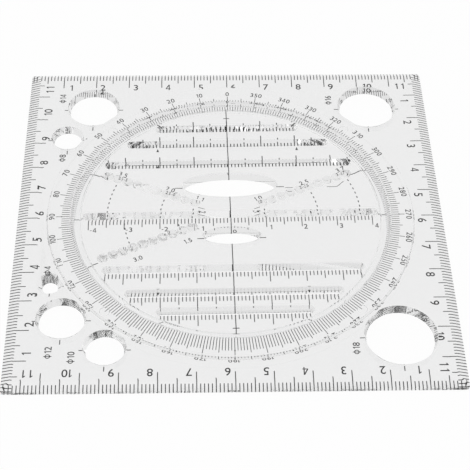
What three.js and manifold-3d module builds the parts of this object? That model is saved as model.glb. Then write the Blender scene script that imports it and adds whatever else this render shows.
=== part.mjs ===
// Drawing template ruler in clear plastic: a square frame carries a raised protractor ring,
// and a template disc turns inside the ring. Millimetres, the underside on z = 0, +Y away from the user.
import * as THREE from "three";
import { mergeVertices } from "three/addons/utils/BufferGeometryUtils.js";
import Module from "manifold-3d";

const wasm = await Module();
wasm.setup();

// Square frame, seen from above: the ring stands clear of its sides by the margin
const frameSide = 120;
const ringMargin = 7.6;
const plateThickness = 2.4;
const edgeThickness = 1;
const bevelWidth = 2.4;
const cornerRadius = 0.8;

// Template disc and the play it turns with
const discEdgeBreak = 0.35;
const turningGap = 0.3;
const axialGap = 0.15;
const discTurnDeg = 0.7;

// Ledge of the frame, which carries the rim of the disc
const ledgeWidth = 1.9;
const ledgeThickness = 1.55;

// Raised protractor ring of the frame
const ringWidth = 7.9;
const ringRise = 1.2;
const ringFootFillet = 0.5;
const ringOuterLean = 0.55;
const ringEdgeBreak = 0.15;
const ringLipWidth = 0.8;

// Snap lugs of the disc, which turn in a groove under the ledge
const lugCount = 4;
const lugThickness = 0.3;
const lugWidth = 3;
const lugReach = 1.1;
const lugRoot = 1;

// Round marks that the mould pins left in the underside of the frame, outside its opening
const pinMarkCount = 4;
const pinMarkPlace = 4;
const pinMarkDiameter = 2.8;
const pinMarkDepth = 0.15;

// Openings: each keeps its true size at the underside and widens towards the top
const flare = 0.75;
const smallCircleFlare = 1.6;
const circleGap = 0.4;
const smallCircleGap = 1;

// Circle templates of the frame: diameters in steps, each on its own spoke
const diameterStep = 2;
const circles = [
  { steps: 7, azimuthDeg: 132.5, gap: circleGap, widen: flare },
  { steps: 8, azimuthDeg: 46.2, gap: circleGap, widen: flare },
  { steps: 4, azimuthDeg: 146.8, gap: circleGap, widen: flare },
  { steps: 2, azimuthDeg: 206.9, gap: smallCircleGap, widen: smallCircleFlare },
  { steps: 6, azimuthDeg: 219, gap: circleGap, widen: flare },
  { steps: 5, azimuthDeg: 234.1, gap: circleGap, widen: flare },
  { steps: 9, azimuthDeg: 315.1, gap: circleGap, widen: flare },
];

// Parallel line slots of the disc: they lean towards the user at the top, and their place and half
// length are shares of the disc radius
const slotWidth = 1;
const slotFlare = 0.93;
const slotLean = 0.37;
const slotShares = [
  { offset: 0, half: 0.924 },
  { offset: 0.4525, half: 0.792 },
  { offset: 0.6425, half: 0.65 },
  { offset: 0.7873, half: 0.459 },
];

// Ellipse templates of the disc, in shares of its radius
const ellipseShares = [
  { length: 0.588, width: 0.181, offset: 0.258 },
  { length: 0.339, width: 0.113, offset: -0.183 },
];

// Compass chains: pencil holes along three spokes, and together one hole for each millimetre of radius
const chainPitch = 3;
const chainHoles = 10;
const chainHoleDiameter = 1.2;
const chainHoleFlare = 1;
const firstChainRadius = 10;
const chainAzimuthsDeg = [24, 156, 204];

// One overrun serves every cut
const overrun = 2;

// Facets of a full turn, by the size of the round
const ringFacets = 96;
const circleFacets = 40;
const ellipseFacets = 48;
const holeFacets = 14;
const roundFacets = 4;
const roundEndFacets = 8;

// Sizes that follow from the ones above
const ringRadius = frameSide / 2 - ringMargin;
const ringTop = plateThickness + ringRise;
const openingRadius = ringRadius - ringWidth;
const ledgeRadius = openingRadius - ledgeWidth;
const discRadius = openingRadius - turningGap;
const discBodyRadius = ledgeRadius - turningGap;
const rimBottom = ledgeThickness + axialGap;
const grooveRadius = discBodyRadius + lugReach + turningGap;
const grooveTop = lugThickness + axialGap;

// A geometry becomes a solid once its shared corners are merged.
function solid(geometry) {
  geometry.deleteAttribute("normal");
  geometry.deleteAttribute("uv");
  const merged = mergeVertices(geometry);
  const vertProperties = merged.getAttribute("position").array;
  const triVerts = new Uint32Array(merged.index.array);
  return new wasm.Manifold(new wasm.Mesh({ numProp: 3, vertProperties, triVerts }));
}

// A solid goes back to a geometry, flat shaded.
function geometryOf(made) {
  const mesh = made.getMesh();
  const geometry = new THREE.BufferGeometry();
  geometry.setAttribute("position", new THREE.BufferAttribute(mesh.vertProperties, 3));
  geometry.setIndex(new THREE.BufferAttribute(mesh.triVerts, 1));
  const flat = geometry.toNonIndexed();
  flat.computeVertexNormals();
  return flat;
}

// A stack of outlines with equal numbers of points, counter-clockwise, becomes a closed body.
function stacked(levels) {
  const count = levels[0].points.length;
  const positions = levels.flatMap(({ points, z }) => points.flatMap((p) => [p.x, p.y, z]));
  const caps = THREE.ShapeUtils.triangulateShape(levels[0].points, []);
  const index = caps.flatMap(([a, b, c]) => [a, c, b]);
  levels.slice(1).forEach((level, below) => {
    const low = below * count;
    const high = low + count;
    for (let i = 0; i < count; i++) {
      const next = (i + 1) % count;
      index.push(low + i, low + next, high + next, low + i, high + next, high + i);
    }
  });
  const top = (levels.length - 1) * count;
  index.push(...caps.flat().map((i) => top + i));
  const geometry = new THREE.BufferGeometry();
  geometry.setAttribute("position", new THREE.Float32BufferAttribute(positions, 3));
  geometry.setIndex(index);
  return solid(geometry);
}

// A profile of [radius, height] pairs turned about the Z axis.
function revolved(profile) {
  const points = profile.map(([radius, height]) => new THREE.Vector2(radius, height));
  return solid(new THREE.LatheGeometry(points, ringFacets).rotateX(Math.PI / 2));
}

// Outline of an ellipse, or of a circle when both half axes are alike.
function ellipseOutline(x, y, halfLength, halfWidth, facets) {
  const curve = new THREE.EllipseCurve(x, y, halfLength, halfWidth);
  return curve.getPoints(facets).slice(0, facets);
}

// Outline of a line slot with round ends.
function slotOutline(y, half, radius) {
  const straight = half - radius;
  return [0, 1].flatMap((end) =>
    Array.from({ length: roundEndFacets + 1 }, (_, i) => {
      const angle = Math.PI * (end + i / roundEndFacets - 1 / 2);
      const side = end === 0 ? straight : -straight;
      return new THREE.Vector2(side + radius * Math.cos(angle), y + radius * Math.sin(angle));
    }),
  );
}

// Outline of the square plate, drawn in from its full size.
function squareOutline(inset) {
  const half = frameSide / 2 - inset;
  const radius = Math.max(cornerRadius - inset, cornerRadius / 2);
  return [0, 1, 2, 3].flatMap((corner) =>
    Array.from({ length: roundFacets + 1 }, (_, i) => {
      const angle = (Math.PI / 2) * (corner + i / roundFacets);
      const middle = Math.PI / 4 + (Math.PI / 2) * corner;
      const x = Math.sign(Math.cos(middle)) * (half - radius);
      const y = Math.sign(Math.sin(middle)) * (half - radius);
      return new THREE.Vector2(x + radius * Math.cos(angle), y + radius * Math.sin(angle));
    }),
  );
}

// A cutter that is true to size at the underside and widens up to the given top.
function flaredCutter(outline, widen, top) {
  return stacked([
    { points: outline(0), z: -overrun },
    { points: outline(0), z: 0 },
    { points: outline(widen), z: top },
    { points: outline(widen), z: top + overrun },
  ]);
}

// A point on a spoke from the middle of the disc.
function onSpoke(radius, azimuthDeg) {
  const angle = THREE.MathUtils.degToRad(azimuthDeg);
  return new THREE.Vector2(radius * Math.cos(angle), radius * Math.sin(angle));
}

// Square plate with the ruler bevel on its four edges
function plate() {
  return stacked([
    { points: squareOutline(0), z: 0 },
    { points: squareOutline(0), z: edgeThickness },
    { points: squareOutline(bevelWidth), z: plateThickness },
  ]);
}

// Radius and centre of a circle template: it stands clear of the ring by its gap
function circlePlace({ steps, azimuthDeg, gap }) {
  const radius = (steps * diameterStep) / 2;
  return { radius, ...onSpoke(ringRadius + gap + radius, azimuthDeg) };
}

// Circle template with its sloped wall, through the plate only
function circleCutter(circle) {
  const { x, y, radius } = circlePlace(circle);
  const outline = (grow) => ellipseOutline(x, y, radius + grow, radius + grow, circleFacets);
  return flaredCutter(outline, circle.widen, plateThickness);
}

// The straight part of a circle template, cut last so that the pencil runs free past the ring
function circleBore(circle) {
  const { x, y, radius } = circlePlace(circle);
  const points = ellipseOutline(x, y, radius, radius, circleFacets);
  return stacked([
    { points, z: -overrun },
    { points, z: ringTop + overrun },
  ]);
}

// Raised ring: outside a fillet, a leaning wall and a broken edge, inside a round lip
function raisedRing() {
  const quarter = Array.from({ length: roundFacets + 1 }, (_, i) => (Math.PI / 2) * (i / roundFacets));
  const fillet = quarter.map((angle) => [
    ringRadius - ringFootFillet * Math.sin(angle),
    plateThickness + (ringFootFillet / 2) * (1 - Math.cos(angle)),
  ]);
  const outerEdge = ringRadius - ringFootFillet - ringOuterLean;
  const lip = quarter.map((angle) => [
    openingRadius + ringLipWidth * (1 - Math.sin(angle)),
    plateThickness + ringRise * Math.cos(angle),
  ]);
  return revolved([
    [ledgeRadius, 0],
    [ringRadius, 0],
    ...fillet,
    [outerEdge, ringTop - ringEdgeBreak],
    [outerEdge - ringEdgeBreak, ringTop],
    ...lip,
    [openingRadius, ledgeThickness],
    [ledgeRadius, ledgeThickness],
    [ledgeRadius, 0],
  ]);
}

// Plug that clears the middle of the plate for the ring and its ledge
function middlePlug() {
  return revolved([
    [0, -overrun],
    [ledgeRadius, -overrun],
    [ledgeRadius, ledgeThickness],
    [openingRadius, ledgeThickness],
    [openingRadius, ringTop + overrun],
    [0, ringTop + overrun],
  ]);
}

// Groove under the ledge, in which the lugs of the disc turn
function lugGroove() {
  return revolved([
    [0, -overrun],
    [grooveRadius, -overrun],
    [grooveRadius, grooveTop],
    [0, grooveTop],
  ]);
}

// Turn of one of several marks or lugs, which stand on the diagonals of the plate
function diagonal(i, count) {
  return ((2 * Math.PI) / count) * (i + 1 / 2);
}

// Snap lug: a flat tongue with a round nose, rooted in the body of the disc
function snapLug(turn) {
  const nose = discBodyRadius + lugReach - lugWidth / 2;
  const tail = discBodyRadius - lugRoot;
  const outline = Array.from({ length: roundEndFacets + 1 }, (_, i) => {
    const angle = Math.PI * (i / roundEndFacets - 1 / 2);
    return [nose + (lugWidth / 2) * Math.cos(angle), (lugWidth / 2) * Math.sin(angle)];
  });
  const points = [[tail, lugWidth / 2], [tail, -lugWidth / 2], ...outline].map(([x, y]) =>
    new THREE.Vector2(x, y).rotateAround(new THREE.Vector2(), turn),
  );
  return stacked([
    { points, z: 0 },
    { points, z: lugThickness },
  ]);
}

// Round mark of a mould pin in the underside of the frame
function pinMark(turn) {
  const across = openingRadius + pinMarkPlace;
  const { x, y } = new THREE.Vector2(across, 0).rotateAround(new THREE.Vector2(), turn);
  const points = ellipseOutline(x, y, pinMarkDiameter / 2, pinMarkDiameter / 2, holeFacets);
  return stacked([
    { points, z: -overrun },
    { points, z: pinMarkDepth },
  ]);
}

// Outer frame: plate, ring with its grooved ledge, circle templates and pin marks
function outerFrame() {
  let frame = plate().subtract(middlePlug());
  for (const circle of circles) frame = frame.subtract(circleCutter(circle));
  frame = frame.add(raisedRing());
  for (const circle of circles) frame = frame.subtract(circleBore(circle));
  frame = frame.subtract(lugGroove());
  for (let i = 0; i < pinMarkCount; i++) frame = frame.subtract(pinMark(diagonal(i, pinMarkCount)));
  return frame;
}

// Blank of the disc: the body inside the ledge, a rim on top of it and lugs under it
function discBlank() {
  const body = revolved([
    [0, 0],
    [discBodyRadius, 0],
    [discBodyRadius, rimBottom],
    [discRadius, rimBottom],
    [discRadius, plateThickness - discEdgeBreak],
    [discRadius - discEdgeBreak, plateThickness],
    [0, plateThickness],
  ]);
  const lugs = Array.from({ length: lugCount }, (_, i) => snapLug(diagonal(i, lugCount)));
  return lugs.reduce((blank, lug) => blank.add(lug), body);
}

// Line slots on both sides of the middle, the middle one once
function slotCutters() {
  return slotShares.flatMap(({ offset, half }) =>
    (offset === 0 ? [0] : [-offset, offset]).map((share) => {
      const outline = (grow) => {
        const y = share * discRadius - slotLean * (grow / slotFlare);
        return slotOutline(y, half * discRadius + grow, slotWidth / 2 + grow);
      };
      return flaredCutter(outline, slotFlare, plateThickness);
    }),
  );
}

// Ellipse templates
function ellipseCutters() {
  return ellipseShares.map(({ length, width, offset }) => {
    const outline = (grow) => {
      const [halfLength, halfWidth] = [length, width].map((share) => (share * discRadius) / 2 + grow);
      return ellipseOutline(0, offset * discRadius, halfLength, halfWidth, ellipseFacets);
    };
    return flaredCutter(outline, flare, plateThickness);
  });
}

// Pencil holes of one compass chain; each chain starts a millimetre further out than the one before
function chainCutters(azimuthDeg, chain) {
  const first = firstChainRadius + (chain * chainPitch) / chainAzimuthsDeg.length;
  return Array.from({ length: chainHoles }, (_, i) => {
    const { x, y } = onSpoke(first + i * chainPitch, azimuthDeg);
    const outline = (grow) =>
      ellipseOutline(x, y, chainHoleDiameter / 2 + grow, chainHoleDiameter / 2 + grow, holeFacets);
    return flaredCutter(outline, chainHoleFlare, plateThickness);
  });
}

// Template disc with all its openings
function templateDisc() {
  const cutters = [...slotCutters(), ...ellipseCutters(), ...chainAzimuthsDeg.flatMap(chainCutters)];
  return cutters.reduce((disc, cutter) => disc.subtract(cutter), discBlank());
}

// Clear plastic, with the faint grey of the moulding
function clearPlastic() {
  return new THREE.MeshStandardMaterial({
    color: 0xe9ecec,
    roughness: 0.08,
    metalness: 0,
    transparent: true,
    opacity: 0.35,
  });
}

const frameMesh = new THREE.Mesh(geometryOf(outerFrame()), clearPlastic());
frameMesh.name = "outer_frame";

const discMesh = new THREE.Mesh(geometryOf(templateDisc()), clearPlastic());
discMesh.name = "template_disc";
discMesh.rotation.z = THREE.MathUtils.degToRad(discTurnDeg);

const ruler = new THREE.Group();
ruler.add(frameMesh, discMesh);

export default ruler;
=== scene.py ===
import math

import bmesh
import bpy
from mathutils import Matrix, Vector


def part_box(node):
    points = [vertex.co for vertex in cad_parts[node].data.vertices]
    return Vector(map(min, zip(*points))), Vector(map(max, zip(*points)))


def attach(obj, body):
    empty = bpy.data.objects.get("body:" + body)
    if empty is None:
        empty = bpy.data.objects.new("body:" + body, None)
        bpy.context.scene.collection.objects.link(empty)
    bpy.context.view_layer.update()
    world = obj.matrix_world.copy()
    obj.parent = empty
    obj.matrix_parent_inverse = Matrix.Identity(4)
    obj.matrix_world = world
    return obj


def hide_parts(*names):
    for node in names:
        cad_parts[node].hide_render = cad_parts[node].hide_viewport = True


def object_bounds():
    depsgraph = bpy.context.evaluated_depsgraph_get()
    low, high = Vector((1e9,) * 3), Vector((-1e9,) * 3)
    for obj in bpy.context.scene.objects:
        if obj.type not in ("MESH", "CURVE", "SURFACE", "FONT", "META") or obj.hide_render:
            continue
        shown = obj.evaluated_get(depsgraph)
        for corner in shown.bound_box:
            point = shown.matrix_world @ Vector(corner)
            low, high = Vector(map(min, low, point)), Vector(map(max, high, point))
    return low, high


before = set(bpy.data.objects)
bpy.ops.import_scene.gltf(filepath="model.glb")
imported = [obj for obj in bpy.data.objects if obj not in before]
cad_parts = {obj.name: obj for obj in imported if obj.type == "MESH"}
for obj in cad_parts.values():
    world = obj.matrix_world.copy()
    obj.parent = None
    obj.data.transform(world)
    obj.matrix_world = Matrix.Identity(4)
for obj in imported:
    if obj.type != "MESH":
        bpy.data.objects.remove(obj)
solid_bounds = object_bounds()
scene = bpy.context.scene
scene.view_settings.view_transform = "Standard"
MM = 0.001

# Light turns round many times inside clear plastic before it leaves.
scene.cycles.max_bounces = 96
scene.cycles.glossy_bounces = 64
scene.cycles.transmission_bounces = 64

# The camera stands in front of the ruler and looks down on it, as in the photograph.
# Its place, turn and focal length come from the ruler's own scales and corners.
photo_side = 470
focal_pixels = 1428.47
camera_place = Vector((-9.957, -273.437, 298.032)) * MM
camera_turn, camera_fall, camera_roll = (math.radians(a) for a in (2.357, 48.073, 1.283))
ahead = Vector((
    math.sin(camera_turn) * math.cos(camera_fall),
    math.cos(camera_turn) * math.cos(camera_fall),
    -math.sin(camera_fall),
))
level_right = ahead.cross(Vector((0, 0, 1))).normalized()
level_up = level_right.cross(ahead)
right = math.cos(camera_roll) * level_right + math.sin(camera_roll) * level_up
up = math.cos(camera_roll) * level_up - math.sin(camera_roll) * level_right
camera_data = bpy.data.cameras.new("camera")
camera_data.lens = camera_data.sensor_width * focal_pixels / photo_side
camera = bpy.data.objects.new("camera", camera_data)
camera.matrix_world = Matrix.Translation(camera_place) @ Matrix((right, up, -ahead)).transposed().to_4x4()
scene.collection.objects.link(camera)
scene.camera = camera


# Node trees, of materials and of geometry alike, are written as expressions: a Wire is a
# node's output, and arithmetic on it adds the Math nodes that it needs.
class Wire:
    """One output of a node."""

    def __init__(self, tree, socket):
        self.tree, self.socket = tree, socket

    def other(self, name):
        """Another output of the same node."""
        return Wire(self.tree, self.socket.node.outputs[name])

    def __add__(self, value):
        return self.tree.maths("ADD", self, value)

    def __radd__(self, value):
        return self.tree.maths("ADD", value, self)

    def __sub__(self, value):
        return self.tree.maths("SUBTRACT", self, value)

    def __rsub__(self, value):
        return self.tree.maths("SUBTRACT", value, self)

    def __mul__(self, value):
        return self.tree.maths("MULTIPLY", self, value)

    def __rmul__(self, value):
        return self.tree.maths("MULTIPLY", value, self)

    def __truediv__(self, value):
        return self.tree.maths("DIVIDE", self, value)

    def __mod__(self, value):
        return self.tree.maths("MODULO", self, value)

    def __lt__(self, value):
        return self.tree.maths("LESS_THAN", self, value)


class Tree:
    """A node tree under construction."""

    def __init__(self, nodes):
        self.nodes = nodes
        self.nodes.nodes.clear()

    def node(self, kind, settings=None, sockets=None, output=0):
        """Adds a node: its settings come first, then a value or a link for each socket named."""
        made = self.nodes.nodes.new(kind)
        for name, value in (settings or {}).items():
            setattr(made, name, value)
        for name, value in (sockets or {}).items():
            if isinstance(value, Wire):
                self.nodes.links.new(value.socket, made.inputs[name])
            else:
                made.inputs[name].default_value = value
        return Wire(self, made.outputs[output]) if made.outputs else made

    def maths(self, operation, first, second=0.0):
        """A Math node on one or two values."""
        return self.node("ShaderNodeMath", {"operation": operation}, {0: first, 1: second})

    def mixed(self, share, first, second):
        """A colour between two."""
        settings = {"data_type": "RGBA", "clamp_factor": True}
        return self.node("ShaderNodeMix", settings, {0: share, 6: first, 7: second}, output=2)


# A white paper floor under the ruler and the studio round it: a bright soft ceiling, walls that fall
# off towards the horizon, and one large soft lamp over the left shoulder. Seen through the plastic,
# the paper in a square under the ruler glows less than the open paper beside it: a painted shadow.
floor_gap = 0.05 * MM
floor_reach = 3.0
# Painted shadow: inside this square the paper glows at the lower level below, outside it at the open level.
painted_shadow_half_side = solid_bounds[1][0]
floor_colour = (0.93, 0.93, 0.93, 1)
painted_shadow_paper = 0.87
open_paper = 1.0
lit_share = 0.05
ceiling_level = 1.0
wall_level = 0.9
wall_foot = 0.1
wall_head = 0.7
lamp_place = Vector((-0.5, -0.35, 0.8))
lamp_side = 1.0
lamp_power = 1.2

floor_mesh = bpy.data.meshes.new("floor")
floor_corners = [(x, y, -floor_gap) for x, y in ((-1, -1), (1, -1), (1, 1), (-1, 1))]
floor_mesh.from_pydata([(x * floor_reach, y * floor_reach, z) for x, y, z in floor_corners], [], [range(4)])
floor = bpy.data.objects.new("floor", floor_mesh)
scene.collection.objects.link(floor)

floor_paint = bpy.data.materials.new("floor")
floor_paint.use_nodes = True
tree = Tree(floor_paint.node_tree)
ray = tree.node("ShaderNodeLightPath", output="Is Camera Ray")
through = tree.maths("MAXIMUM", ray.other("Is Glossy Ray"), ray.other("Is Transmission Ray")) * (1 - ray)
spot = tree.node("ShaderNodeTexCoord", output="Object")
east = tree.node("ShaderNodeSeparateXYZ", {}, {"Vector": spot})
reach = tree.maths("MAXIMUM", tree.maths("ABSOLUTE", east), tree.maths("ABSOLUTE", east.other("Y")))
# Painted shadow: the paper's glow for rays through the plastic is turned down inside the ruler-sized square.
open_share = tree.maths("GREATER_THAN", reach, painted_shadow_half_side)
level = painted_shadow_paper + open_share * (open_paper - painted_shadow_paper)
glow = tree.node("ShaderNodeEmission", {}, {"Strength": ray + through * level})
paint = tree.node("ShaderNodeBsdfDiffuse", {}, {"Color": floor_colour})
share = (ray + through) * (1 - lit_share)
seen = tree.node("ShaderNodeMixShader", {}, {0: share, 1: paint, 2: glow})
tree.node("ShaderNodeOutputMaterial", {}, {"Surface": seen})
floor_mesh.materials.append(floor_paint)

studio = bpy.data.worlds.new("studio")
studio.use_nodes = True
scene.world = studio
tree = Tree(studio.node_tree)
toward = tree.node("ShaderNodeTexCoord", output="Generated")
height = tree.node("ShaderNodeSeparateXYZ", {}, {"Vector": toward}, output="Z")
walls = tree.node("ShaderNodeMapRange", {"interpolation_type": "SMOOTHSTEP"}, {
    "Value": height, "From Min": wall_foot, "From Max": wall_head,
    "To Min": wall_level, "To Max": ceiling_level,
})
ray = tree.node("ShaderNodeLightPath", output="Is Camera Ray")
sky = tree.node("ShaderNodeBackground", {}, {"Strength": ray + (1 - ray) * walls})
tree.node("ShaderNodeOutputWorld", {}, {"Surface": sky})

lamp_data = bpy.data.lights.new("soft_lamp", "AREA")
lamp_data.size, lamp_data.energy = lamp_side, lamp_power
lamp = bpy.data.objects.new("soft_lamp", lamp_data)
lamp.location = lamp_place
lamp.rotation_euler = (-lamp_place).to_track_quat("-Z", "Y").to_euler()
scene.collection.objects.link(lamp)


# The outer frame is one clear moulding: a square plate with a ruler bevel on its four edges,
# a raised ring round the middle, and in the opening a ledge that carries the disc. Circle
# templates are moulded through it, with walls that slope so that the mould lets go.
frame_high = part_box("outer_frame")[1]
disc_low, disc_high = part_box("template_disc")
half_side = frame_high.x
plate_top = disc_high.z
ring_top = frame_high.z
disc_radius = (disc_high.x - disc_low.x) / 2
turning_gap = 0.3 * MM
axial_gap = 0.15 * MM
edge_top = 1 * MM
bevel_width = 2.4 * MM
corner_radius = 0.8 * MM
soft = 0.08 * MM
ring_width = 7.9 * MM
foot_fillet = 0.8 * MM
foot_rise = foot_fillet / 2
outer_lean = 0.25 * MM
edge_round = 0.15 * MM
lip_width = 0.8 * MM
lip_break = 0.12 * MM
opening_radius = disc_radius + turning_gap
ring_radius = opening_radius + ring_width
ledge_width = 1.9 * MM
ledge_thickness = 1.55 * MM
ledge_radius = opening_radius - ledge_width
body_radius = ledge_radius - turning_gap
lug_thickness = 0.3 * MM
lug_reach = 1.1 * MM
groove_radius = body_radius + lug_reach + turning_gap
groove_top = lug_thickness + axial_gap
pin_mark_count = 4
pin_mark_place = 4 * MM
pin_mark_radius = 1.4 * MM
pin_mark_depth = 0.15 * MM
overrun = 2 * MM
round_steps = 12
turned_points = 360
template_points = 128
pin_mark_points = 48


def circle(x, y, radius, z, count=turned_points):
    """Points round a circle, counter-clockwise."""
    return ellipse(x, y, radius, radius, z, count)


def ellipse(x, y, half_length, half_width, z, count):
    """Points round an ellipse, counter-clockwise."""
    turns = [2 * math.pi * i / count for i in range(count)]
    return [(x + half_length * math.cos(t), y + half_width * math.sin(t), z) for t in turns]


def square(inset, z):
    """Points round the plate, drawn in from its full size."""
    radius = max(corner_radius - inset, corner_radius / 2)
    reach = half_side - inset - radius
    points = []
    for corner in range(4):
        middle = math.pi / 4 + corner * math.pi / 2
        x, y = math.copysign(reach, math.cos(middle)), math.copysign(reach, math.sin(middle))
        for i in range(round_steps + 1):
            turn = (corner + i / round_steps) * math.pi / 2
            points.append((x + radius * math.cos(turn), y + radius * math.sin(turn), z))
    return points


def stack(rings):
    """A closed body through rings of points, from the lowest to the highest."""
    count = len(rings[0])
    mesh = bpy.data.meshes.new("body")
    sides = []
    for low in range(0, (len(rings) - 1) * count, count):
        for i in range(count):
            beside = (i + 1) % count
            sides.append((low + i, low + beside, low + count + beside, low + count + i))
    top = (len(rings) - 1) * count
    caps = [tuple(reversed(range(count))), tuple(range(top, top + count))]
    mesh.from_pydata([point for ring in rings for point in ring], [], sides + caps)
    return mesh


def together(name, meshes):
    """One object with the bodies of several meshes."""
    joined = bmesh.new()
    for mesh in meshes:
        joined.from_mesh(mesh)
        bpy.data.meshes.remove(mesh)
    mesh = bpy.data.meshes.new(name)
    joined.to_mesh(mesh)
    joined.free()
    piece = bpy.data.objects.new(name, mesh)
    scene.collection.objects.link(piece)
    return piece


def settle(piece):
    """Makes what the modifiers of a piece give its own plain mesh, and takes them off."""
    shape = piece.evaluated_get(bpy.context.evaluated_depsgraph_get())
    mesh = bpy.data.meshes.new_from_object(shape)
    piece.modifiers.clear()
    piece.data = mesh
    mesh.name = piece.name


def work(piece, operation, meshes):
    """Cuts bodies out of a piece, or joins them to it."""
    tool = together("tool", meshes)
    modifier = piece.modifiers.new(operation, "BOOLEAN")
    modifier.operation, modifier.solver, modifier.object = operation, "MANIFOLD", tool
    settle(piece)
    bpy.data.objects.remove(tool)


def smooth(piece, crease=math.radians(32)):
    """Smooth shading, with an edge kept wherever the surface turns sharply."""
    piece.data.shade_smooth()
    piece.data.set_sharp_from_angle(angle=crease)


def flared(outline, widen, top):
    """A cutter that is true to size at the underside, widens to the top and softens both rims."""
    slope = widen / top
    return stack([
        outline(soft + overrun, -overrun),
        outline(soft, 0),
        outline(slope * soft, soft),
        outline(slope * (top - soft), top - soft),
        outline(widen + soft, top),
        outline(widen + soft + overrun, top + overrun),
    ])


# Each circle template: its diameter in millimetres, its azimuth in degrees, how far it stands off
# the ring, and how much wider its wall opens at the top.
circle_gap = 0.4 * MM
circle_flare = 0.75 * MM
small_circle_gap = 1 * MM
small_circle_flare = 1.6 * MM
circle_templates = [
    (14, 132.5, circle_gap, circle_flare),
    (16, 46.2, circle_gap, circle_flare),
    (8, 146.8, circle_gap, circle_flare),
    (4, 206.9, small_circle_gap, small_circle_flare),
    (12, 219, circle_gap, circle_flare),
    (10, 234.1, circle_gap, circle_flare),
    (18, 315.1, circle_gap, circle_flare),
]


def spoke(radius, azimuth):
    """A point at a radius and an azimuth in degrees."""
    return radius * math.cos(math.radians(azimuth)), radius * math.sin(math.radians(azimuth))


def template_centre(diameter, azimuth, gap):
    """The middle of a circle template."""
    return spoke(ring_radius + gap + diameter * MM / 2, azimuth)


# The plate is cut with the flared walls before the ring stands on it. Where the ring reaches over
# a template, a straight cut of the true size goes through it.
wide, narrow = [], []
for diameter, azimuth, gap, flare in circle_templates:
    x, y = template_centre(diameter, azimuth, gap)
    radius = diameter * MM / 2
    wide.append(flared(lambda grow, z: circle(x, y, radius + grow, z, template_points), flare, plate_top))
    narrow.append(stack([circle(x, y, radius, z, template_points) for z in (-overrun, ring_top + overrun)]))

bevel_slope = bevel_width / (plate_top - edge_top)
outer_frame = together("outer_frame_moulding", [stack([
    square(soft, 0),
    square(0, soft),
    square(0, edge_top - soft),
    square(bevel_slope * soft, edge_top + soft),
    square(bevel_width - bevel_slope * soft, plate_top - soft),
    square(bevel_width + bevel_slope * soft, plate_top),
])])
work(outer_frame, "DIFFERENCE", wide)

quarter = [math.pi / 2 * i / round_steps for i in range(round_steps + 1)]
outer_edge = ring_radius - foot_fillet - outer_lean
ring_profile = [(ring_radius, 0)]
ring_profile += [
    (ring_radius - foot_fillet * math.sin(t), plate_top + foot_rise * (1 - math.cos(t))) for t in quarter]
ring_profile += [
    (outer_edge - edge_round * (1 - math.cos(t)), ring_top - edge_round * (1 - math.sin(t)))
    for t in quarter[::2]]
work(outer_frame, "UNION", [stack([circle(0, 0, r, z) for r, z in ring_profile])])

hollow = [
    (groove_radius, -overrun), (groove_radius, groove_top), (ledge_radius, groove_top),
    (ledge_radius, ledge_thickness), (opening_radius, ledge_thickness), (opening_radius, plate_top),
    (opening_radius + lip_width - lip_break, ring_top - lip_break),
    (opening_radius + lip_width, ring_top + overrun),
]
pin_marks = []
for i in range(pin_mark_count):
    x, y = spoke(opening_radius + pin_mark_place, 360 / pin_mark_count * (i + 1 / 2))
    pin_marks.append(stack([
        circle(x, y, pin_mark_radius, -overrun, pin_mark_points),
        circle(x, y, pin_mark_radius, pin_mark_depth - soft, pin_mark_points),
        circle(x, y, pin_mark_radius - soft, pin_mark_depth, pin_mark_points),
    ]))
work(outer_frame, "DIFFERENCE", [stack([circle(0, 0, r, z) for r, z in hollow])] + narrow + pin_marks)
smooth(outer_frame)


def clear_plastic(name):
    """Clear moulded plastic: a little cloudy and scuffed, with the soft waves that a mould leaves."""
    clearest, cloudiest = (1.0, 1.0, 1.0, 1), (0.994, 0.995, 0.996, 1)
    polish, scuffing = 0.012, 0.02
    cloud_scale, scuff_scale, wave_scale = 55.0, 900.0, 160.0
    wave_strength, wave_height = 0.1, 0.05 * MM
    plastic = bpy.data.materials.new(name)
    plastic.use_nodes = True
    tree = Tree(plastic.node_tree)
    place = tree.node("ShaderNodeTexCoord", output="Object")
    cloud = tree.node("ShaderNodeTexNoise", {}, {"Vector": place, "Scale": cloud_scale, "Detail": 3.0})
    scuffs = tree.node("ShaderNodeTexNoise", {}, {"Vector": place, "Scale": scuff_scale, "Detail": 4.0})
    waves = tree.node("ShaderNodeTexNoise", {}, {"Vector": place, "Scale": wave_scale, "Detail": 1.0})
    bump = tree.node("ShaderNodeBump", {}, {
        "Strength": wave_strength, "Distance": wave_height, "Height": waves})
    body = tree.node("ShaderNodeBsdfPrincipled", {}, {
        "Base Color": tree.mixed(cloud, clearest, cloudiest),
        "Roughness": polish + scuffing * scuffs,
        "IOR": 1.49,
        "Transmission Weight": 1.0,
        "Normal": bump,
    })
    tree.node("ShaderNodeOutputMaterial", {}, {"Surface": body})
    return plastic


outer_frame.data.materials.clear()
outer_frame.data.materials.append(clear_plastic("frame_plastic"))
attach(outer_frame, "frame")
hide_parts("outer_frame")

# The template disc is the second moulding: its rim lies on the ledge, level with the plate, and
# four lugs snap in under the ledge, so that it turns and stays. It has line slots, two ellipses and
# compass chains, whose pencil holes run into one another and leave scalloped edges.
disc_turn = math.radians(0.7)
disc_edge_break = 0.35 * MM
rim_bottom = ledge_thickness + axial_gap
lug_count = 4
lug_width = 3 * MM
lug_root = 1 * MM
slot_half_width = 0.5 * MM
slot_flare = 0.86 * MM
slot_lean = 0.3 * MM
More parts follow.
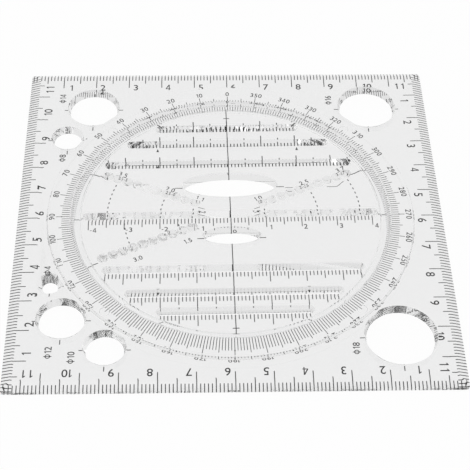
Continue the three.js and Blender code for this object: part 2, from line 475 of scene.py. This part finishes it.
# Shares of the disc's radius: how far a slot is from the middle and half its length, and the
# length, the width and the place of each ellipse.
slot_shares = ((0, 0.924), (0.4525, 0.792), (0.6425, 0.65), (0.7873, 0.459))
ellipse_shares = ((0.588, 0.181, 0.258), (0.339, 0.113, -0.183))
line_slots = [(offset * disc_radius, half_length * disc_radius) for offset, half_length in slot_shares]
ellipse_templates = [tuple(share * disc_radius for share in shares) for shares in ellipse_shares]
ellipse_points = 160
chain_azimuths = (24, 156, 204)
chain_holes = 10
first_chain_radius = 10 * MM
chain_pitch = 3 * MM
chain_hole_radius = 0.6 * MM
chain_hole_points = 40
chain_flare = 1 * MM
drill_overrun = 0.2 * MM


def slot(y, half_length, grow, z):
    """Points round a line slot with round ends, which leans towards the user as it grows."""
    radius = slot_half_width + grow
    straight = half_length - slot_half_width
    y -= slot_lean * grow / slot_flare
    points = []
    for side, end in ((1, 0), (-1, 1)):
        for i in range(round_steps + 1):
            turn = math.pi * (end + i / round_steps - 1 / 2)
            points.append((side * straight + radius * math.cos(turn), y + radius * math.sin(turn), z))
    return points


disc_rounds = [
    (disc_radius - disc_edge_break * (1 - math.cos(t)), plate_top - disc_edge_break * (1 - math.sin(t)))
    for t in quarter[::3]]
disc_profile = [
    (body_radius - soft, 0), (body_radius, soft), (body_radius, rim_bottom), (disc_radius - soft, rim_bottom),
    (disc_radius, rim_bottom + soft), *disc_rounds,
]
template_disc = together("template_disc_moulding", [stack([circle(0, 0, r, z) for r, z in disc_profile])])
nose = body_radius + lug_reach - lug_width / 2
tail = body_radius - lug_root
tip = [math.pi * (step / round_steps - 1 / 2) for step in range(round_steps + 1)]
lug_outline = [(tail, lug_width / 2), (tail, -lug_width / 2)]
lug_outline += [(nose + lug_width / 2 * math.cos(t), lug_width / 2 * math.sin(t)) for t in tip]
lugs = []
for i in range(lug_count):
    lug = stack([[(x, y, z) for x, y in lug_outline] for z in (0, lug_thickness)])
    lug.transform(Matrix.Rotation(2 * math.pi / lug_count * (i + 1 / 2), 4, "Z"))
    lugs.append(lug)
work(template_disc, "UNION", lugs)

cutters = []
for offset, half_length in line_slots:
    for y in sorted({-offset, offset}):
        cutters.append(flared(lambda grow, z: slot(y, half_length, grow, z), slot_flare, plate_top))
for length, width, offset in ellipse_templates:
    cutters.append(flared(
        lambda grow, z: ellipse(0, offset, length / 2 + grow, width / 2 + grow, z, ellipse_points),
        circle_flare, plate_top))
work(template_disc, "DIFFERENCE", cutters)


def geometry_tree(name, inputs):
    """A Geometry Nodes tree with named inputs, and a wire for each of them."""
    group = bpy.data.node_groups.new(name, "GeometryNodeTree")
    for label, kind in inputs.items():
        group.interface.new_socket(name=label, in_out="INPUT", socket_type="NodeSocket" + kind)
    group.interface.new_socket(name="Geometry", in_out="OUTPUT", socket_type="NodeSocketGeometry")
    tree = Tree(group)
    entry = tree.node("NodeGroupInput")
    return group, tree, {label: entry.other(label) for label in inputs}


def apply_tree(piece, group, values):
    """Puts a tree on a piece, with a value for each named input."""
    modifier = piece.modifiers.new(group.name, "NODES")
    modifier.node_group = group
    for item in group.interface.items_tree:
        if item.in_out == "INPUT" and item.name in values:
            modifier[item.identifier] = values[item.name]


disc_plastic = clear_plastic("disc_plastic")
compass_chain, tree, given = geometry_tree("compass_chain", {
    "Disc": "Geometry", "Count": "Int", "First Radius": "Float", "Pitch": "Float", "Azimuth": "Float",
    "Hole Radius": "Float", "Flare": "Float", "Thickness": "Float", "Overrun": "Float",
})
slope = given["Flare"] / given["Thickness"]
drill = tree.node("GeometryNodeMeshCone", {}, {
    "Vertices": chain_hole_points,
    "Radius Bottom": given["Hole Radius"] - slope * given["Overrun"],
    "Radius Top": given["Hole Radius"] + given["Flare"] + slope * given["Overrun"],
    "Depth": given["Thickness"] + 2 * given["Overrun"],
})
along = given["First Radius"] + given["Pitch"] * tree.node("GeometryNodeInputIndex")
place = tree.node("ShaderNodeCombineXYZ", {}, {
    "X": along * tree.maths("COSINE", given["Azimuth"]),
    "Y": along * tree.maths("SINE", given["Azimuth"]),
    "Z": 0 - given["Overrun"],
})
points = tree.node("GeometryNodePoints", {}, {"Count": given["Count"], "Position": place})
drills = tree.node("GeometryNodeInstanceOnPoints", {}, {"Points": points, "Instance": drill})
drilled = tree.node("GeometryNodeMeshBoolean", {"operation": "DIFFERENCE", "solver": "MANIFOLD"},
                    {"Mesh 1": given["Disc"], "Mesh 2": drills})
whole = tree.node("GeometryNodeRealizeInstances", {}, {"Geometry": drilled})
dressed = tree.node("GeometryNodeSetMaterial", {}, {"Geometry": whole, "Material": disc_plastic})
tree.node("NodeGroupOutput", {}, {"Geometry": dressed})

for chain, azimuth in enumerate(chain_azimuths):
    apply_tree(template_disc, compass_chain, {
        "Count": chain_holes,
        "First Radius": first_chain_radius + chain * chain_pitch / len(chain_azimuths),
        "Pitch": chain_pitch,
        "Azimuth": math.radians(azimuth),
        "Hole Radius": chain_hole_radius,
        "Flare": chain_flare,
        "Thickness": plate_top,
        "Overrun": drill_overrun,
    })
settle(template_disc)
template_disc.data.transform(Matrix.Rotation(disc_turn, 4, "Z"))
smooth(template_disc)
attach(template_disc, "disc")
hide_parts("template_disc")

# The edge scales are printed in black on the underside, reversed, so that the plastic guards them.
# Each edge has a mark at every millimetre, longer at five and at ten, and counts centimetres.
ink_low = 0.004 * MM
ink_thickness = 0.012 * MM
ink_level = ink_low + ink_thickness / 2
graduation = 1 * MM
line_width = 0.25 * MM


def printed_ink(name):
    """Black screen ink, thinner in places, so that its grey and its gloss vary a little."""
    full_ink, thin_ink = (0.012, 0.012, 0.0126, 1), (0.03, 0.03, 0.031, 1)
    smoothest, matting = 0.45, 0.2
    patch_scale = 2500.0
    ink = bpy.data.materials.new(name)
    ink.use_nodes = True
    tree = Tree(ink.node_tree)
    place = tree.node("ShaderNodeTexCoord", output="Object")
    patches = tree.node("ShaderNodeTexNoise", {}, {"Vector": place, "Scale": patch_scale, "Detail": 2.0})
    coat = tree.node("ShaderNodeBsdfPrincipled", {}, {
        "Base Color": tree.mixed(patches, full_ink, thin_ink),
        "Roughness": smoothest + matting * patches,
        "IOR": 1.5,
    })
    tree.node("ShaderNodeOutputMaterial", {}, {"Surface": coat})
    return ink


frame_ink = printed_ink("frame_ink")
disc_ink = printed_ink("disc_ink")
mark_inputs = {
    "Fine Length": "Float", "Half Length": "Float", "Whole Length": "Float",
    "Line Width": "Float", "Level": "Float", "Thickness": "Float", "Ink": "Material",
}


def mark_values(lengths, width, ink):
    """Values for those inputs: a length for each mark, each fifth and each tenth, and a line width."""
    fine, half, whole = lengths
    return {
        "Fine Length": fine, "Half Length": half, "Whole Length": whole,
        "Line Width": width, "Level": ink_level, "Thickness": ink_thickness, "Ink": ink,
    }


def mark_length(given, number):
    """Length of a mark by its number: fine, longer at each fifth and longest at each tenth."""
    fifth, tenth = number % 5 < 0.5, number % 10 < 0.5
    longer = fifth * (given["Half Length"] - given["Fine Length"])
    return given["Fine Length"] + longer + tenth * (given["Whole Length"] - given["Half Length"])


def inked(tree, given, marks):
    """The end of a tree of printed marks: real boxes, in the ink."""
    whole = tree.node("GeometryNodeRealizeInstances", {}, {"Geometry": marks})
    dressed = tree.node("GeometryNodeSetMaterial", {}, {"Geometry": whole, "Material": given["Ink"]})
    tree.node("NodeGroupOutput", {}, {"Geometry": dressed})


straight_scale, tree, given = geometry_tree("straight_scale", {
    "Half Count": "Int", "Graduation": "Float", "Baseline": "Float", "Sense": "Float", **mark_inputs,
    "Turns": "Int",
})
number = tree.node("GeometryNodeInputIndex") - given["Half Count"]
length = mark_length(given, tree.maths("ABSOLUTE", number))
place = tree.node("ShaderNodeCombineXYZ", {}, {
    "X": number * given["Graduation"],
    "Y": given["Baseline"] + given["Sense"] * length / 2,
    "Z": given["Level"],
})
points = tree.node("GeometryNodePoints", {}, {"Count": 2 * given["Half Count"] + 1, "Position": place})
size = tree.node("ShaderNodeCombineXYZ", {}, {"X": given["Line Width"], "Y": length, "Z": given["Thickness"]})
bar = tree.node("GeometryNodeMeshCube", {}, {"Size": (1, 1, 1)})
row = tree.node("GeometryNodeInstanceOnPoints", {}, {"Points": points, "Instance": bar, "Scale": size})
row = tree.node("GeometryNodeRealizeInstances", {}, {"Geometry": row})
middle = tree.node("GeometryNodePoints", {}, {"Count": given["Turns"]})
turned = tree.node("ShaderNodeCombineXYZ", {}, {"Z": tree.node("GeometryNodeInputIndex") * (math.pi / 2)})
rows = tree.node("GeometryNodeInstanceOnPoints", {}, {"Points": middle, "Instance": row, "Rotation": turned})
inked(tree, given, rows)


def scale_piece(name, group, values, turn=0.0):
    """A plain mesh of printed marks, from a tree and its values."""
    piece = bpy.data.objects.new(name, bpy.data.meshes.new(name))
    scene.collection.objects.link(piece)
    apply_tree(piece, group, values)
    settle(piece)
    piece.data.transform(Matrix.Rotation(turn, 4, "Z"))
    return piece


edge_half_count = 59
edge_inset = 0.2 * MM
edge_lengths = (2.6 * MM, 3.9 * MM, 5.8 * MM)
edge_scales = scale_piece("edge_scales", straight_scale, {
    "Half Count": edge_half_count, "Graduation": graduation, "Baseline": half_side - edge_inset,
    "Sense": -1.0, "Turns": 4, **mark_values(edge_lengths, line_width, frame_ink),
})
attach(edge_scales, "frame")


def half_ring(start):
    """Outline of one half of a round ring from a turn on, in shares of a figure's height."""
    x, y = 0.4, 0.5
    outer, inner = 0.38, 0.25
    turns = [start + math.pi * i / round_steps for i in range(round_steps + 1)]
    edge = [(x + outer * math.cos(t), y + outer * math.sin(t)) for t in turns]
    return edge + [(x + inner * math.cos(t), y + inner * math.sin(t)) for t in reversed(turns)]


# Figures that are plainer or more open than the lettering's own, as outlines in shares of a height.
drawn_figures = {
    "1": [[(0.16, 0), (0.3, 0), (0.3, 1), (0.19, 1), (0, 0.84), (0, 0.7), (0.16, 0.82)]],
    "4": [[(0.38, 0), (0.5, 0), (0.5, 1), (0.38, 1)], [(0, 0.2), (0.62, 0.2), (0.62, 0.31), (0, 0.31)],
          [(0, 0.3), (0.14, 0.3), (0.5, 1), (0.36, 1)]],
    ".": [[(0.08 + 0.09 * math.cos(t), 0.09 + 0.09 * math.sin(t)) for t in
           [2 * math.pi * i / round_steps for i in range(round_steps)]]],
    "-": [[(0, 0.36), (0.32, 0.36), (0.32, 0.48), (0, 0.48)]],
    "Φ": [half_ring(-math.pi / 2), half_ring(math.pi / 2),
          [(0.34, -0.08), (0.46, -0.08), (0.46, 1.08), (0.34, 1.08)]],
}


def ink_plate(outline, level=0.0):
    """A thin closed mesh of ink, from points round it."""
    return stack([[(x, y, level + rise * ink_thickness / 2) for x, y in outline] for rise in (-1, 1)])


def figure(character, height):
    """One printed figure as a thin closed mesh that stands on its baseline, and its width."""
    digit_share = 0.7
    weight_share = 0.012
    if character in drawn_figures:
        outlines = drawn_figures[character]
        parts = [ink_plate([(x * height, y * height) for x, y in outline]) for outline in outlines]
    else:
        curve = bpy.data.curves.new("figure", "FONT")
        curve.body = character
        curve.size = height / digit_share
        curve.offset = weight_share * height
        curve.extrude = ink_thickness / 2
        curve.resolution_u = 4
        shape = bpy.data.objects.new("figure", curve)
        scene.collection.objects.link(shape)
        parts = [bpy.data.meshes.new_from_object(shape.evaluated_get(bpy.context.evaluated_depsgraph_get()))]
        bpy.data.objects.remove(shape)
    across = [vertex.co.x for part in parts for vertex in part.vertices]
    for part in parts:
        part.transform(Matrix.Translation((-min(across), 0, 0)))
    return parts, max(across) - min(across)


def glyphs(text, height, cell_share):
    """The meshes of a printed word that starts at the origin and is centred in height, and its width."""
    space_share = 0.16
    meshes, reach = [], 0.0
    for character in text:
        parts, width = figure(character, height)
        cell = max(cell_share * height, width) if character.isdigit() else width
        for part in parts:
            part.transform(Matrix.Translation((reach + cell - width, -height / 2, 0)))
        meshes += parts
        reach += cell + space_share * height
    return meshes, reach - space_share * height


def printed_words(name, words, height, ink, body, turn=0.0, centring=1 / 2, cell_share=0.63):
    """One piece of words, each with its text, place and turn in degrees."""
    weld_distance = 1e-7
    meshes = []
    for text, x, y, angle in words:
        word, width = glyphs(text, height, cell_share)
        place = Matrix.Translation((x, y, ink_level)) @ Matrix.Rotation(math.radians(angle), 4, "Z")
        for mesh in word:
            mesh.transform(place @ Matrix.Translation((-centring * width, 0, 0)))
        meshes += word
    piece = together(name, meshes)
    piece.data.transform(Matrix.Rotation(turn, 4, "Z"))
    joined = bmesh.new()
    joined.from_mesh(piece.data)
    bmesh.ops.remove_doubles(joined, verts=joined.verts, dist=weld_distance)
    joined.to_mesh(piece.data)
    joined.free()
    piece.data.materials.clear()
    piece.data.materials.append(ink)
    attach(piece, body)


centimetre = 10 * MM
edge_last_number = 11
edge_numeral_height = 2.4 * MM
edge_numeral_inset = 5.9 * MM
edge_numeral_lead = 1.2 * MM
edge_words = []
for side in range(4):
    for number in range(1, edge_last_number + 1):
        along = number * centimetre + edge_numeral_lead - half_side
        spot = Vector((along, half_side - edge_numeral_inset, 0))
        spot.rotate(Matrix.Rotation(side * math.pi / 2, 3, "Z"))
        edge_words.append((str(number), spot.x, spot.y, side * 90))
printed_words("edge_numerals", edge_words, edge_numeral_height, frame_ink, "frame", centring=0)

# The protractor is printed on the underside of the ring, in the frame's ink: a mark at every degree,
# longer at each fifth and tenth, a number at every tenth and a dot at every eighteenth.
dial_scale, tree, given = geometry_tree("dial_scale", {
    "Count": "Int", "Step": "Float", "Start": "Float", "Radius": "Float", **mark_inputs,
    "Centre X": "Float", "Centre Y": "Float",
})
number = tree.node("GeometryNodeInputIndex")
turn = given["Start"] + number * given["Step"]
length = mark_length(given, number)
reach = given["Radius"] + length / 2
place = tree.node("ShaderNodeCombineXYZ", {}, {
    "X": given["Centre X"] + reach * tree.maths("COSINE", turn),
    "Y": given["Centre Y"] + reach * tree.maths("SINE", turn),
    "Z": given["Level"],
})
points = tree.node("GeometryNodePoints", {}, {"Count": given["Count"], "Position": place})
size = tree.node("ShaderNodeCombineXYZ", {}, {"X": length, "Y": given["Line Width"], "Z": given["Thickness"]})
bar = tree.node("GeometryNodeMeshCube", {}, {"Size": (1, 1, 1)})
facing = tree.node("ShaderNodeCombineXYZ", {}, {"Z": turn})
marks = tree.node("GeometryNodeInstanceOnPoints", {}, {
    "Points": points, "Instance": bar, "Scale": size, "Rotation": facing})
inked(tree, given, marks)


def dial_piece(name, count, step, start, radius, lengths, width, ink, centre=(0.0, 0.0), turn=0.0):
    """Marks round a centre, at a step and from a start that are given in degrees."""
    return scale_piece(name, dial_scale, {
        "Count": count, "Step": math.radians(step), "Start": math.radians(start), "Radius": radius,
        "Centre X": centre[0], "Centre Y": centre[1], **mark_values(lengths, width, ink),
    }, turn)


degree_count = 360
protractor_zero = 90
protractor_radius = 43.75 * MM
protractor_lengths = (3.85 * MM, 4.65 * MM, 5.4 * MM)
protractor_line_width = 0.18 * MM
dot_count = 20
dot_points = 16
dot_place = 47.6 * MM
dot_radius = 0.2 * MM
protractor = dial_piece("protractor_scale", degree_count, 1, protractor_zero, protractor_radius,
                        protractor_lengths, protractor_line_width, frame_ink)
dot_meshes = []
for i in range(dot_count):
    x, y = spoke(dot_place, 360 / dot_count * i)
    outline = [(px, py) for px, py, z in circle(x, y, dot_radius, 0, dot_points)]
    dot_meshes.append(ink_plate(outline, ink_level))
dots = together("protractor_dots", dot_meshes)
dots.data.materials.append(frame_ink)
for piece in (protractor, dots):
    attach(piece, "frame")

numbered_degrees = 10
protractor_numeral_radius = 50.3 * MM
protractor_numeral_height = 1.6 * MM
protractor_words = []
for value in range(0, degree_count, numbered_degrees):
    x, y = spoke(protractor_numeral_radius, protractor_zero + value)
    protractor_words.append((str(value), x, y, value))
printed_words("protractor_numerals", protractor_words, protractor_numeral_height, frame_ink, "frame")

# Each circle template has four short marks on its centre lines and its diameter in millimetres
# beside it, printed on the underside with the scales and read from the right.
centre_mark_count = 4
centre_mark_length = 1.5 * MM
centre_mark_clearance = 0.3 * MM
for diameter, azimuth, gap, flare in circle_templates:
    centre = template_centre(diameter, azimuth, gap)
    marks = dial_piece(f"circle_marks_{diameter}", centre_mark_count, 360 / centre_mark_count, 0,
                       diameter * MM / 2 + centre_mark_clearance, (centre_mark_length,) * 3, line_width,
                       frame_ink, centre)
    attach(marks, "frame")
circle_label_height = 1.85 * MM
circle_label_cell = 0.36
# The middle of each diameter's label, in millimetres.
circle_label_places = {
    14: (-50, 49.3), 16: (30.8, 48), 8: (-48.8, 23.8), 4: (-50.5, -19),
    12: (-48.6, -47.4), 10: (-42.6, -49.1), 18: (31.8, -47),
}
circle_words = [(f"Φ{diameter}", x * MM, y * MM, 90) for diameter, (x, y) in circle_label_places.items()]
printed_words("circle_labels", circle_words, circle_label_height, frame_ink, "frame",
              cell_share=circle_label_cell)

# The disc carries a millimetre scale along each line slot, counted from the middle, and the
# middle one has centimetre numbers. It turns with the disc, as all of the disc's print does.
slot_margin = 0.06 * MM
near_print_shift = 0.3 * MM
far_lengths = (1.9 * MM, 2.5 * MM, 3.35 * MM)
near_lengths = (1.5 * MM, 2.5 * MM, 3.35 * MM)
far_line_width = 0.28 * MM
near_line_width = 0.23 * MM
row_half_counts = (40, 35, 28, 20)
slot_rows = [(y, half_count) for (offset, half_length), half_count in zip(line_slots, row_half_counts)
             for y in sorted({-offset, offset})]
for number, (y, half_count) in enumerate(slot_rows, 1):
    if y > 0:
        sense, clearance = 1.0, slot_margin
        printed = mark_values(far_lengths, far_line_width, disc_ink)
    else:
        sense, clearance = -1.0, slot_margin + near_print_shift
        printed = mark_values(near_lengths, near_line_width, disc_ink)
    row = scale_piece(f"row_scale_{number}", straight_scale, {
        "Half Count": half_count, "Graduation": graduation,
        "Baseline": y + sense * (slot_half_width + clearance), "Sense": sense, "Turns": 1, **printed,
    }, disc_turn)
    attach(row, "disc")
row_last_number = 4
row_numeral_height = 1.65 * MM
row_numeral_lead = 0.45 * MM
row_numeral_drop = 4.3 * MM
row_words = [(str(number), number * centimetre + row_numeral_lead, -row_numeral_drop, 0)
             for number in range(-row_last_number, row_last_number + 1)]
printed_words("row_numerals", row_words, row_numeral_height, disc_ink, "disc", disc_turn, centring=0)


# Single lines are printed on the disc's underside: its upright centre line, broken at every opening,
# crosses near its ends, marks at the ends of the middle slot and of the ellipses, pointers and the
# lines that carry the compass chains on to the rim.
def bar_mesh(start, end, width):
    """A printed line between two points."""
    start, end = Vector(start), Vector(end)
    across = Vector((start.y - end.y, end.x - start.x)).normalized() * width / 2
    return ink_plate([start - across, end - across, end + across, start + across], ink_level)


centre_line_start = -42 * MM
centre_line_end = 44 * MM
bars = []
gaps = [(y, slot_half_width) for offset, half_length in line_slots for y in sorted({-offset, offset})]
gaps += [(offset, width / 2) for length, width, offset in ellipse_templates]
below = centre_line_start
for y, half_gap in sorted(gaps) + [(centre_line_end, 0)]:
    bars.append(bar_mesh((0, below), (0, y - half_gap - slot_margin), line_width))
    below = y + half_gap + slot_margin

cross_place = 40 * MM
cross_reach = 0.9 * MM
for y in (-cross_place, cross_place):
    for side in (-1, 1):
        bars.append(bar_mesh((side * line_width / 2, y), (side * cross_reach, y), line_width))

# Lines alike on both sides: where each starts, where it ends and how far up it is, in millimetres.
side_lines = [(41.2, 43.9, 0), (13.5, 15.7, 11.4), (7.7, 9.6, -8.1)]
for side in (-1, 1):
    for start, end, y in side_lines:
        bars.append(bar_mesh((side * start * MM, y * MM), (side * end * MM, y * MM), line_width))

chain_line_starts = (38.4 * MM, 39.5 * MM, 40.5 * MM)
chain_line_end = 43.8 * MM
for azimuth, start in zip(chain_azimuths, chain_line_starts):
    bars.append(bar_mesh(spoke(start, azimuth), spoke(chain_line_end, azimuth), line_width))

# Short marks between the slots: where each starts and where it ends, in millimetres.
short_mark_width = 0.16 * MM
short_marks = [
    ((16, 11), (18.3, 11)), ((28.1, 11.1), (31.1, 11.1)), ((31, 11.1), (33.1, 13.2)),
    ((6.8, 2.9), (8.4, 3.6)), ((6.8, 1.6), (8.3, 2.2)),
    ((-9.2, 3.8), (-7.3, 3.1)), ((-9.1, 2.5), (-7.3, 1.8)),
]
for start, end in short_marks:
    bars.append(bar_mesh([c * MM for c in start], [c * MM for c in end], short_mark_width))

pointer_height = 1.2 * MM
pointer_half_width = 0.4 * MM
pointer_columns = (-20.6 * MM, 20.4 * MM)
pointer_row = 26.6 * MM
for sense in (1, -1):
    for x in pointer_columns:
        tip = sense * (pointer_row + pointer_height / 2)
        foot = sense * (pointer_row - pointer_height / 2)
        corners = [(x - sense * pointer_half_width, foot), (x + sense * pointer_half_width, foot), (x, tip)]
        bars.append(ink_plate(corners, ink_level))

disc_lines = together("disc_lines", bars)
disc_lines.data.transform(Matrix.Rotation(disc_turn, 4, "Z"))
disc_lines.data.materials.append(disc_ink)
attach(disc_lines, "disc")

# Dashed arcs lead from numbered holes of the compass chains to the middle slot, and the number
# of each stands beside its chain: the radius in centimetres that a pencil draws from that hole.
dash_length = 0.7 * MM
dash_width = 0.28 * MM
dash_pitch = 1.75 * MM
arc_clearance = 1.6 * MM
arc_end = 0.8 * MM
chain_numeral_height = 1.5 * MM
chain_numeral_aside = 3.1 * MM
numbered_radii = ((10, 25, 37), (11, 20, 35), (15, 30))
chain_words = []
for azimuth, radii in zip(chain_azimuths, numbered_radii):
    level_azimuth = 0 if azimuth < 90 else 180
    sense = 1 if azimuth > level_azimuth else -1
    for radius in radii:
        reach = radius * MM
        start = azimuth - sense * math.degrees(arc_clearance / reach)
        room = abs(start - level_azimuth) - math.degrees(arc_end / reach)
        step = math.degrees(dash_pitch / reach)
        arc = dial_piece(f"arc_{azimuth}_{radius}", int(room / step) + 1, -sense * step, start,
                         reach - dash_width / 2, (dash_width,) * 3, dash_length, disc_ink, turn=disc_turn)
        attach(arc, "disc")
        x, y = spoke(reach, azimuth)
        aside_x, aside_y = spoke(chain_numeral_aside, azimuth + sense * 90)
        chain_words.append((str(radius / 10), x + aside_x, y + aside_y, azimuth - level_azimuth))
printed_words("chain_numerals", chain_words, chain_numeral_height, disc_ink, "disc", disc_turn)
